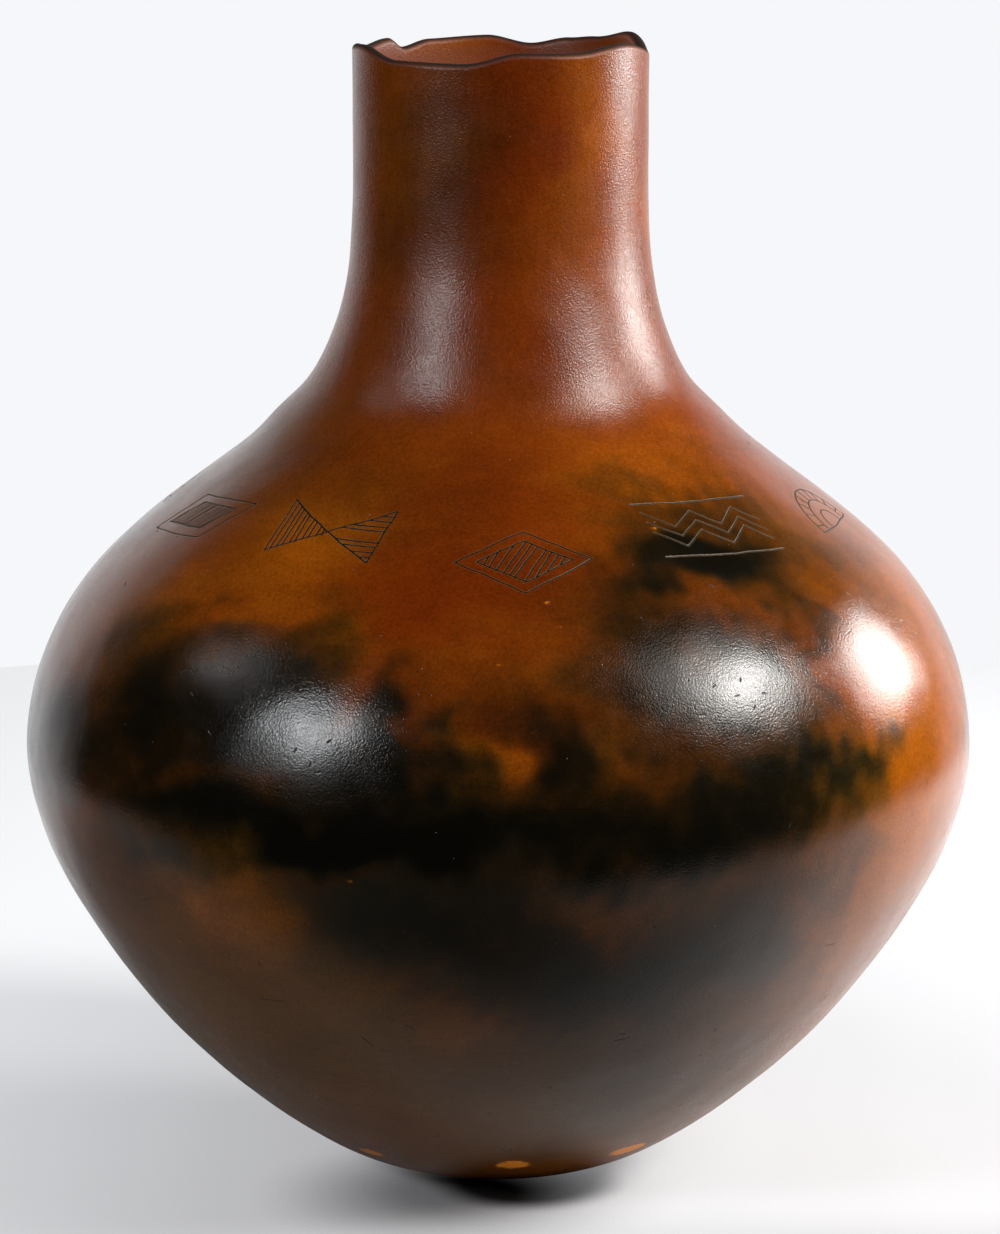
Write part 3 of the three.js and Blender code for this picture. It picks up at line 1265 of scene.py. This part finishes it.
def cut_piece(skin, number, name, clay):
    """One coil: its outer and inner skin, closed by its lap faces, with the skin's own normals."""
    faces = np.flatnonzero(skin.piece == number)
    sizes = skin.size[faces]
    corners = np.repeat(skin.start[faces], sizes) + counted(sizes)
    normals = skin.normal[corners]
    laps = []
    if number < COILS:
        laps.append(lap_face(skin, number))
    if number > 0:
        laps.append(lap_face(skin, number - 1)[:, ::-1])
    laps = np.concatenate(laps)
    a, b, c = (skin.points[laps[:, i]] for i in range(3))
    facing = np.cross(b - a, c - a)
    facing /= np.maximum(np.linalg.norm(facing, axis=1), 1e-12)[:, None]
    used, local = np.unique(np.concatenate([skin.corner[corners], laps.ravel()]), return_inverse=True)
    mesh = bpy.data.meshes.new(name)
    fill_mesh(mesh, skin.points[used], local, np.concatenate([sizes, np.full(len(laps), 3)]))
    for mark, values in skin.marks.items():
        add_values(mesh, mark, values[used])
    mesh.materials.append(clay)
    mesh.normals_split_custom_set(np.concatenate([normals, np.repeat(facing, 3, axis=0)]))
    return add_object(name, mesh)


def build_pot(clay):
    skin = read_skin(turned_wall(clay))
    courses = [("base_slab", "burnished_brown_clay")]
    for zone, count, slot in ZONES:
        courses += [(f"{zone}_coil_{number}", slot) for number in range(1, count + 1)]
    courses.append(("lip_coil", "burnished_red_clay"))
    for number, (node, slot) in enumerate(courses):
        piece = cut_piece(skin, number, "fired_" + node, clay)
        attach(piece, "root")
        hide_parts(node)


# The clay

def fire_cloud_group():
    """Thins and thickens a cloud in the drifts that smoke and flame leave."""
    tree, given, hand_out = new_tree("fire_cloud", "ShaderNodeTree", {
        "Vector": ("Vector", None),
        "Thickness": ("Float", 0.0),
        "Drift": ("Float", 0.5),
        "Size": ("Float", 0.03),
        "Seed": ("Float", 0.0),
    }, {"Layer": ("Float", None), "Cover": ("Float", None)})
    coarse = noise(tree, given["Vector"], one_over(tree, given["Size"]), 8.0, 0.7, given["Seed"])
    drift = times(tree, centred(tree, coarse.outputs[0]), given["Drift"])
    drift = calc(tree, "MAXIMUM", calc(tree, "MULTIPLY_ADD", drift, NOISE_SPREAD, 1.0), 0.0)
    layer = times(tree, given["Thickness"], drift)
    hand_out(layer=layer, cover=calc(tree, "SUBTRACT", 1.0, let_through(tree, layer, 1.0)))
    return tree


def let_through(tree, layer, strength):
    """The share of light that comes through a layer."""
    return calc(tree, "EXPONENT", times(tree, layer, -strength))


def grain_group():
    """Height in millimetres of burnished clay: fine grain, burnishing strokes and pinholes."""
    tree, given, hand_out = new_tree("burnished_grain", "ShaderNodeTree", {
        "Vector": ("Vector", None),
        "Grain": ("Float", 0.02),
        "Strokes": ("Float", 0.02),
        "Pinholes": ("Float", 0.15),
        "Upright": ("Float", 0.0),
    }, {"Height": ("Float", None), "Pinhole": ("Float", None), "Stroke": ("Float", None)})
    place_in_mm = vector_calc(tree, "SCALE", given["Vector"], 1 / MM)
    grain = noise(tree, place_in_mm, 1.2, 2.0, 0.6, 1.0).outputs[0]
    strokes = []
    for stretch, seed in ((LYING_STROKES, 2.0), (STANDING_STROKES, 3.0)):
        stretched = vector_calc(tree, "MULTIPLY", place_in_mm, stretch)
        strokes.append(noise(tree, stretched, 1.0, 2.0, 0.5, seed).outputs[0])
    stroke = between(tree, given["Upright"], *strokes)
    holes = place(tree, "ShaderNodeTexVoronoi", {"Vector": place_in_mm, "Scale": 0.16, "Randomness": 1.0})
    chosen = place(tree, "ShaderNodeSeparateColor", {0: holes.outputs["Color"]})
    radius = ramp(tree, chosen.outputs[0], 0.8, 1.0, 0.0, 0.08, smooth=False)
    hole = ramp(tree, calc(tree, "SUBTRACT", radius, holes.outputs["Distance"]), 0.0, 0.05)
    height = times(tree, centred(tree, grain), given["Grain"])
    height = calc(tree, "MULTIPLY_ADD", centred(tree, stroke), given["Strokes"], height)
    height = calc(tree, "SUBTRACT", height, times(tree, hole, given["Pinholes"]))
    hand_out(height=height, pinhole=hole, stroke=stroke)
    return tree


def speck_group():
    """Scattered specks, as a mask."""
    tree, given, hand_out = new_tree("specks", "ShaderNodeTree", {
        "Vector": ("Vector", None),
        "Spacing": ("Float", 0.008),
        "Share": ("Float", 0.3),
        "Size": ("Float", 0.05),
    }, {"Speck": ("Float", None)})
    cells = place(tree, "ShaderNodeTexVoronoi", {
        "Vector": given["Vector"], "Scale": one_over(tree, given["Spacing"]), "Randomness": 1.0,
    })
    chosen = place(tree, "ShaderNodeSeparateColor", {0: cells.outputs["Color"]})
    kept = calc(tree, "LESS_THAN", chosen.outputs[1], given["Share"])
    hand_out(speck=times(tree, ramp(tree, cells.outputs["Distance"], given["Size"], 0.0), kept))
    return tree


def burnished_clay():
    material = bpy.data.materials.new("burnished_pit_fired_clay")
    material.use_nodes = True
    tree = material.node_tree
    shader = tree.nodes["Principled BSDF"]
    where = place(tree, "ShaderNodeTexCoord").outputs["Object"]
    height = parted(tree, where)["Z"]
    fire = fire_cloud_group()

    def mark(name):
        return place(tree, "ShaderNodeAttribute", attribute_name=name).outputs["Fac"]

    def laid(name):
        drift, size, seed = DRIFTS[name]
        return use(tree, fire, {
            "Vector": where, "Thickness": mark(name), "Drift": drift, "Size": size * MM, "Seed": seed,
        })

    surface = use(tree, grain_group(), {
        "Vector": where,
        "Upright": by_height(tree, height, *STROKES_STAND),
        "Grain": by_height(tree, height, *GRAIN_DEPTH),
        "Strokes": STROKE_DEPTH,
        "Pinholes": PINHOLE_DEPTH,
    })
    marks = {name: mark(name) for name in ("scraped", "lip", "incised", "scarred")}
    marks["fleck"] = laid("fleck")["Cover"]
    dust_sockets = {"Vector": where, "Spacing": 0.006, "Share": 0.22, "Size": 0.06}
    marks["dust"] = use(tree, speck_group(), dust_sockets)["Speck"]

    colour = SIENNA
    for name, strength, tone in (("brown", 0.9, MILK_BROWN), ("ruddy", 0.75, RED_CLAY), ("flash", 0.7, GOLD)):
        colour = mix(tree, times(tree, laid(name)["Cover"], strength), colour, tone)
    mottle = ramp(tree, noise(tree, where, *MOTTLE).outputs[0], 0.25, 0.75, 0.84, 1.14)
    tint = calc(tree, "ADD", mottle, spread(tree, noise(tree, where, *SPECKLE).outputs[0], -0.2, 0.2))
    tint = calc(tree, "ADD", tint, spread(tree, surface["Stroke"], -0.05, 0.05))
    colour = mix(tree, 1.0, colour, joined(tree, tint, tint, tint), "MULTIPLY")
    colour = mix(tree, times(tree, laid("slate")["Cover"], 0.95), colour, SLATE_GREY)
    smoke = laid("smoke")
    soot = joined(tree, *[let_through(tree, smoke["Layer"], strength) for strength in SOOT])
    colour = mix(tree, 1.0, colour, soot, "MULTIPLY")
    colour = mix(tree, smoke["Cover"], colour, CARBON, "ADD")
    for share, tone in (
        # Flecks of bare clay, brightened as painted light
        (ramp(tree, marks["fleck"], 0.2, 0.5), BARE_ORANGE_AND_PAINTED_LIGHT),
        (ramp(tree, marks["incised"], 0.05, 0.25, 0.0, 0.5), OCHRE),
        (ramp(tree, marks["incised"], 0.28, 0.5), CARBON),
        (times(tree, marks["scarred"], 0.7), CARBON),
        (times(tree, surface["Pinhole"], 0.7), CARBON),
        (times(tree, marks["lip"], 0.95), CARBON),
        (times(tree, marks["scraped"], 0.8), RAW_CLAY),
        (times(tree, marks["dust"], 0.6), DUST),
    ):
        colour = mix(tree, share, colour, tone)
    tree.links.new(colour, shader.inputs["Base Color"])

    rough = spread(tree, noise(tree, where, *WEAR).outputs[0], *BURNISH)
    for more in (
        spread(tree, surface["Stroke"], -0.015, 0.015),
        by_height(tree, height, *FOOT_ROUGHER),
        by_height(tree, height, *NECK_ROUGHER),
    ):
        rough = calc(tree, "ADD", rough, more)
    for name, much in ROUGHER.items():
        rough = calc(tree, "MULTIPLY_ADD", marks[name], much, rough)
    tree.links.new(calc(tree, "MINIMUM", rough, 1.0), shader.inputs["Roughness"])

    bump = place(tree, "ShaderNodeBump", {"Strength": 1.0, "Distance": MM, "Height": surface["Height"]})
    tree.links.new(bump.outputs[0], shader.inputs["Normal"])
    shader.inputs["IOR"].default_value = 1.44
    return material


# The studio

def direction(azimuth, elevation):
    across, up = math.radians(azimuth), math.radians(elevation)
    return (math.sin(across) * math.cos(up), -math.cos(across) * math.cos(up), math.sin(up))


def hang_lamp(name, azimuth, elevation, distance, width, height, roll, radiance, colour):
    lamp = bpy.data.lights.new(name, "AREA")
    lamp.shape = "RECTANGLE"
    lamp.size, lamp.size_y = width, height
    lamp.energy = radiance * math.pi * width * height
    lamp.color = colour
    holder = add_object(name, lamp)
    aim = (0, 0, BELLY_HEIGHT * MM)
    towards = direction(azimuth, elevation)
    holder.location = [a + distance * t for a, t in zip(aim, towards)]
    turns = ((azimuth, "Z"), (90 - elevation, "X"), (roll, "Z"))
    about_z, about_x, rolled = (Matrix.Rotation(math.radians(angle), 3, axis) for angle, axis in turns)
    holder.rotation_euler = (about_z @ about_x @ rolled).to_euler()
    holder.visible_camera = False


def light_studio():
    for name, sizes in LAMPS.items():
        hang_lamp(name, *sizes)
    world = bpy.data.worlds.new("studio")
    bpy.context.scene.world = world
    world.use_nodes = True
    tree = world.node_tree
    backdrop = tree.nodes["Background"]
    towards = place(tree, "ShaderNodeTexCoord").outputs["Generated"]
    facing = vector_calc(tree, "DOT_PRODUCT", towards, direction(BACKDROP_AZIMUTH, 0))
    upwards = parted(tree, towards)["Z"]
    behind = times(tree, ramp(tree, facing, *BACKDROP_SIDES), ramp(tree, upwards, *BACKDROP_TOP))
    light = ramp(tree, behind, 0.0, 1.0, STUDIO_FRONT, STUDIO_BACK, smooth=False)
    ray = place(tree, "ShaderNodeLightPath").outputs
    direct = calc(tree, "MAXIMUM", ray["Is Camera Ray"], ray["Is Transmission Ray"])
    plain = calc(tree, "MAXIMUM", direct, times(tree, ray["Is Glossy Ray"], behind))
    tree.links.new(between(tree, plain, light, 1.0), backdrop.inputs["Strength"])
    backdrop.inputs["Color"].default_value = STUDIO_WHITE


def pale_cloth():
    """The cloth, which glows towards the camera and in the pot's burnish, a painted light, with painted shade
    in front and under the foot.
    """
    material = bpy.data.materials.new("pale_cloth")
    material.use_nodes = True
    tree = material.node_tree
    shader = tree.nodes["Principled BSDF"]
    where = place(tree, "ShaderNodeTexCoord").outputs["Object"]
    rightwards, backwards, _ = parted(tree, where)

    def away_from(spot):
        return vector_calc(tree, "LENGTH", vector_calc(tree, "SUBTRACT", where, spot))

    weave = noise(tree, where, *WEAVE).outputs[0]
    colour = mix(tree, spread(tree, weave), *CLOTH)
    # Painted shade: the cloth's colour darkens towards the front
    colour = mix(tree, ramp(tree, backwards, *DIM_FRONT, 1.0, 0.0), colour, CLOTH_DIM)
    # Painted shadow: the cloth's colour goes dark round a spot under the foot
    foot_shadow = ramp(tree, away_from(FOOT_SHADE), *FOOT_SHADE_EDGE, 1.0, 0.0)
    tree.links.new(mix(tree, foot_shadow, colour, CLOTH_SHADED), shader.inputs["Base Color"])

    # Painted light: the cloth glows, less round the pot as a painted shadow, and only to camera and mirrored
    # rays
    near = ramp(tree, away_from(POT_SHADE), *POT_SHADE_EDGE)
    near = times(tree, near, ramp(tree, rightwards, *GLOW_ACROSS, *NEAR_GLOW))
    far = ramp(tree, backwards, *FAR_GLOW_EDGE)
    far = times(tree, far, ramp(tree, rightwards, *GLOW_ACROSS, *FAR_GLOW))
    lit = ramp(tree, backwards, *MIRRORED_BACK), ramp(tree, rightwards, *MIRRORED_RIGHT)
    ray = place(tree, "ShaderNodeLightPath").outputs
    mirrored = times(tree, ray["Is Glossy Ray"], calc(tree, "MAXIMUM", *lit))
    seen = calc(tree, "MAXIMUM", ray["Is Camera Ray"], mirrored)
    glow = times(tree, calc(tree, "ADD", near, far), seen)
    tree.links.new(glow, shader.inputs["Emission Strength"])

    folds = noise(tree, vector_calc(tree, "MULTIPLY", where, FOLD_STRETCH), *FOLDS).outputs[0]
    bump = place(tree, "ShaderNodeBump", {"Strength": 1.0, "Distance": FOLD_HEIGHT, "Height": folds})
    tree.links.new(bump.outputs[0], shader.inputs["Normal"])
    shader.inputs["Emission Color"].default_value = STUDIO_WHITE
    shader.inputs["Roughness"].default_value = 0.9
    shader.inputs["Specular IOR Level"].default_value = 0.2
    return material


def lay_table():
    """A round table under the cloth."""
    turn = np.linspace(0, 2 * math.pi, 257)[:-1]
    radius = (TABLE_BACK - TABLE_FRONT) / 2
    rim = np.stack([radius * np.cos(turn), TABLE_FRONT + radius * (1 + np.sin(turn)), 0 * turn], axis=1)
    mesh = bpy.data.meshes.new("table")
    mesh.from_pydata(rim.tolist(), [], [list(range(len(rim)))])
    mesh.materials.append(pale_cloth())
    add_object("table", mesh)


def set_camera():
    camera = bpy.data.cameras.new("camera")
    camera.lens = CAMERA_LENS
    camera.clip_end = 20
    holder = add_object("camera", camera)
    holder.location = CAMERA_PLACE
    holder.rotation_euler = (math.radians(90 - CAMERA_PITCH), 0, 0)
    bpy.context.scene.camera = holder


bpy.context.scene.view_settings.view_transform = "Standard"
set_camera()
light_studio()
lay_table()
build_pot(burnished_clay())
